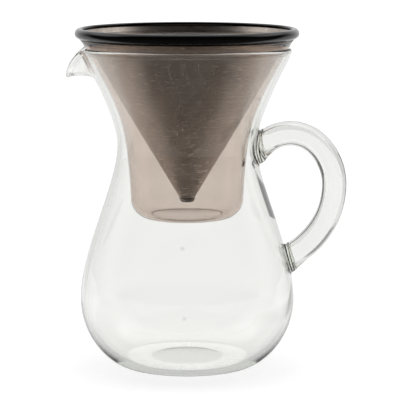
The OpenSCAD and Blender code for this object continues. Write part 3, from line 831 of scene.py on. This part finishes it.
join(tree, shade.outputs["Color"], resin.inputs["Base Color"])
join(tree, wear.outputs["Fac"], gloss.inputs["Value"])
join(tree, gloss.outputs["Result"], resin.inputs["Roughness"])
join(tree, mould.outputs["Fac"], bump.inputs["Height"])
join(tree, bump.outputs["Normal"], resin.inputs["Normal"])
filter_ring.data.materials.append(black)
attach(filter_ring, "filter")
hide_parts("filter_ring")

# Studio
# A wide white table that glows a little, so that only a faint shadow is left under the foot, before a white
# wall, and a faint painted shadow round the foot where the camera sees the table. Two soft boxes hang at
# the sides. The room round the camera is dark. Parts of the table carry painted dark reflections: they look
# dark only where glass, steel and ring mirror them. A black card behind the handle, which shows only in
# mirror images, paints the dark line inside its loop.
table_half = 12.0
# Painted reflections: where the table is mirrored dark, its glow and white are cut by these amounts.
table_glow, table_white, painted_reflection_glow, painted_reflection_white = 0.86, 0.35, -0.66, -0.27
# Painted reflection: a black card behind the handle that shows only in mirror images.
card_y, card_corners = 0.052, ((-0.02, 0.045), (0.09, 0.088), (0.09, 0.113), (-0.02, 0.064))
card_strength = 0.85


def fade(value, low, high):
    """Smooth change from 0 at low to 1 at high."""
    node = add(tree, "ShaderNodeMapRange", interpolation_type="SMOOTHSTEP")
    node.inputs["From Min"].default_value = low
    node.inputs["From Max"].default_value = high
    join(tree, value, node.inputs["Value"])
    return node.outputs["Result"]


def light(operation, *values):
    """Math node of the tree in hand."""
    return reckon(tree, operation, *values)


def flat_sheet(name, corners, material):
    """One flat face through four corners."""
    mesh = bpy.data.meshes.new(name)
    mesh.from_pydata(corners, [], [(0, 1, 2, 3)])
    mesh.materials.append(material)
    flat = bpy.data.objects.new(name, mesh)
    bpy.context.collection.objects.link(flat)
    return flat


table, tree, top = new_material("white_table")
top.inputs["Roughness"].default_value = 0.9
top.inputs["Specular IOR Level"].default_value = 0
top.inputs["Emission Color"].default_value = (1, 1, 1, 1)
place = add(tree, "ShaderNodeTexCoord").outputs["Object"]
spot = add(tree, "ShaderNodeSeparateXYZ")
join(tree, place, spot.inputs["Vector"])

# The parts of the table that carry painted dark reflections, so that they look dark only in a mirror, by
# their place in metres and by the depth, which is the number of glass surfaces that the light has passed.
front = light("MULTIPLY", spot.outputs["Y"], -1)
before = fade(front, -0.01, 0.1)
path = add(tree, "ShaderNodeLightPath")
close = light("MULTIPLY", reckon(tree, "LENGTH", place, kind=vectors, result=1), -1)
depth = path.outputs["Transmission Depth"]
wide = light("ABSOLUTE", spot.outputs["X"])
ahead = light("MULTIPLY", light("MAXIMUM", light("SUBTRACT", wide, 0.25), 0), 0.5)
ahead = light("SUBTRACT", ahead, spot.outputs["Y"])
outside = light("MULTIPLY", fade(ahead, -0.05, 0.05), light("LESS_THAN", depth, 0.5))
inside = light("MULTIPLY", light("GREATER_THAN", depth, 2.5), light("LESS_THAN", depth, 5.5))
inside = light("MULTIPLY", inside, fade(front, -0.12, -0.03))
nearby = light("MULTIPLY", fade(close, -0.12, -0.05), light("GREATER_THAN", depth, 5.5))
off_band = light("ABSOLUTE", light("SUBTRACT", wide, 0.145))
band = light("MULTIPLY", fade(light("MULTIPLY", off_band, -1), -0.06, -0.03), fade(front, -0.4, -0.25))
band = light("MULTIPLY", band, fade(spot.outputs["Y"], -0.08, -0.02))
band = light("MULTIPLY", band, light("COMPARE", depth, 2, 0.5))
band = light("MULTIPLY", band, light("GREATER_THAN", spot.outputs["X"], 0))
sides = light("COMPARE", depth, 2.5, 2)
edges = light("MULTIPLY", fade(wide, 0.12, 0.17), light("LESS_THAN", depth, 2.5))
before = light("MULTIPLY", before, light("SUBTRACT", 1, edges))
far = light("MULTIPLY", fade(wide, 0.2, 0.4), fade(spot.outputs["Y"], 0.1, 0.25))
# Painted dark reflections: the darkest of these masks cuts the table's glow and white in mirror images.
dark = before
for mask, strength in ((outside, 1.26), (inside, 0.8), (band, 0.9), (sides, 0.3), (nearby, 0.7), (far, 0.35)):
    dark = light("MAXIMUM", dark, light("MULTIPLY", mask, strength))
painted_reflection_mask = light("MULTIPLY", dark, light("GREATER_THAN", path.outputs["Glossy Depth"], 0.5))
glow = light("MULTIPLY_ADD", painted_reflection_mask, painted_reflection_glow, table_glow)
# Painted shadow: where the camera sees the table, it glows a little more away from the object and a little
# less close round the foot.
camera_glow_and_painted_shadow = light("MULTIPLY_ADD", fade(close, -0.085, -0.05), -0.07, 0.06)
glow = light("MULTIPLY_ADD", path.outputs["Is Camera Ray"], camera_glow_and_painted_shadow, glow)
join(tree, light("MULTIPLY_ADD", painted_reflection_mask, painted_reflection_white, table_white), top.inputs["Base Color"])
join(tree, glow, top.inputs["Emission Strength"])
floor = flat_sheet("floor", [(table_half * x, table_half * y, 0) for x, y in 2 * square - 1], table)

# Painted reflection: the card shows only in mirror images after two glass surfaces, to paint the dark line
# inside the handle's loop.
painted_dark_card, tree, painted_card_shader = new_material("painted_dark_card")
painted_card_shader.inputs["Base Color"].default_value = (0, 0, 0, 1)
painted_card_shader.inputs["Specular IOR Level"].default_value = 0
path = add(tree, "ShaderNodeLightPath")
once = light("COMPARE", path.outputs["Transmission Depth"], 2, 0.5)
painted_reflection_mask = light("GREATER_THAN", path.outputs["Glossy Depth"], 0.5)
join(tree, light("MULTIPLY", light("MULTIPLY", once, painted_reflection_mask), card_strength), painted_card_shader.inputs["Alpha"])
painted_reflection_card = flat_sheet("card", [(x, card_y, z) for x, z in card_corners], painted_dark_card)

# The room is bright overhead, at the wall and at the soft boxes, and dark behind the camera.
room = bpy.data.worlds.new("photo_room")
bpy.context.scene.world = room
room.use_nodes = True
tree = room.node_tree
tree.nodes.clear()
aim = add(tree, "ShaderNodeSeparateXYZ")
join(tree, add(tree, "ShaderNodeTexCoord").outputs["Generated"], aim.inputs["Vector"])
aside = light("ABSOLUTE", aim.outputs["X"])
fall = light("MULTIPLY", aim.outputs["Z"], -1)
wall = fade(aim.outputs["Y"], 0.35, 0.95)
behind = fade(aim.outputs["Y"], -0.2, 0.2)
roof = light("MULTIPLY", behind, fade(aim.outputs["Z"], 0.34, 0.62))
boxes = light("MULTIPLY", fade(aim.outputs["Z"], 0.3, 0.42), fade(fall, -0.85, -0.72))
boxes = light("MULTIPLY", fade(aside, 0.5, 0.68), boxes)
level = light("MULTIPLY_ADD", light("MULTIPLY", boxes, behind), 0.5, 0.015)
level = light("MULTIPLY_ADD", roof, 1.2, level)
level = light("MAXIMUM", level, light("MULTIPLY", wall, 1.05))
path = add(tree, "ShaderNodeLightPath")
through = light("MULTIPLY", behind, light("GREATER_THAN", path.outputs["Transmission Depth"], 0.5))
level = light("MAXIMUM", level, light("MULTIPLY", through, 0.8))
level = light("MAXIMUM", level, path.outputs["Is Camera Ray"])
lamp = add(tree, "ShaderNodeBackground")
join(tree, level, lamp.inputs["Strength"])
join(tree, lamp.outputs["Background"], add(tree, "ShaderNodeOutputWorld").inputs["Surface"])

lens_f, frame_w = 2106.1, 400
camera_far, camera_high, camera_aside = 1150.4 * MM, 255.0 * MM, 7.1 * MM
camera_tilt = np.radians(8.082)
camera = bpy.data.objects.new("camera", bpy.data.cameras.new("camera"))
bpy.context.collection.objects.link(camera)
camera.data.sensor_width = 36
camera.data.lens = camera.data.sensor_width * lens_f / frame_w
camera.location = (camera_aside, -camera_far, camera_high)
camera.rotation_euler = (np.pi / 2 - camera_tilt, 0, 0)
scene = bpy.context.scene
scene.camera = camera
scene.view_settings.view_transform = "Standard"
scene.cycles.max_bounces = scene.cycles.transmission_bounces = 32
scene.cycles.glossy_bounces = 8
scene.cycles.transparent_max_bounces = 32
